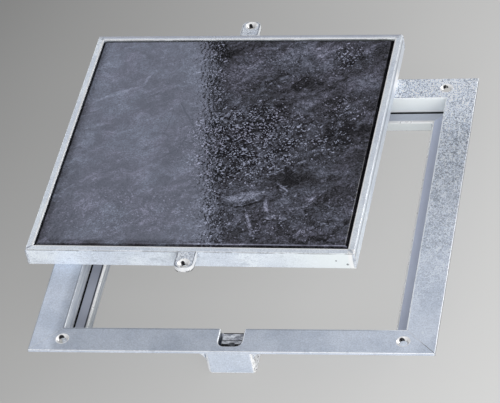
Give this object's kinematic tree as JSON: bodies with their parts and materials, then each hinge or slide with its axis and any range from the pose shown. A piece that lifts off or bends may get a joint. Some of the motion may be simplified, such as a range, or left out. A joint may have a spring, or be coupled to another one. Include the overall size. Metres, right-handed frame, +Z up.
{
  "type": "recessed paving cover",
  "caption": "Square galvanised access cover for a floor or paving: a flanged frame with lock pockets, and its lid, a tray with a polished stone slab and two screw lugs, laid aside on it.",
  "frame": {"origin": "centre of the frame, in the plane of the flange's underside", "axes": "+X to the right, +Y to the back, +Z up out of the paving"},
  "size_m": [0.4264, 0.476, 0.052],
  "materials": {
    "frame_steel": "hot-dip galvanised, frosted",
    "lid_steel": "hot-dip galvanised, frosted",
    "nut_steel": "zinc plated",
    "polished_stone": "polished, cloudy dark grey with veins",
    "mortar": "rough cement mortar",
    "sealant": "smooth dark sealant",
    "seal_rubber": "matt black"
  },
  "bodies": {
    "root": {"frame_bar_front": "frame_steel", "frame_bar_right": "frame_steel", "frame_bar_back": "frame_steel", "frame_bar_left": "frame_steel", "seat_bar_front": "frame_steel", "seat_bar_right": "frame_steel", "seat_bar_back": "frame_steel", "seat_bar_left": "frame_steel", "lock_pocket_front": "frame_steel", "lock_bridge_front": "frame_steel", "lock_nut_front": "nut_steel", "lid_lug_front": "lid_steel", "lock_pocket_back": "frame_steel", "lock_bridge_back": "frame_steel", "lock_nut_back": "nut_steel", "lid_lug_back": "lid_steel", "lid_bar_front": "lid_steel", "lid_bar_right": "lid_steel", "lid_bar_back": "lid_steel", "lid_bar_left": "lid_steel", "lid_tray": "lid_steel", "mortar_bed": "mortar", "stone_slab": "polished_stone", "slab_sealant": "sealant", "recess_seal": "seal_rubber"}
  },
  "joints": []
}
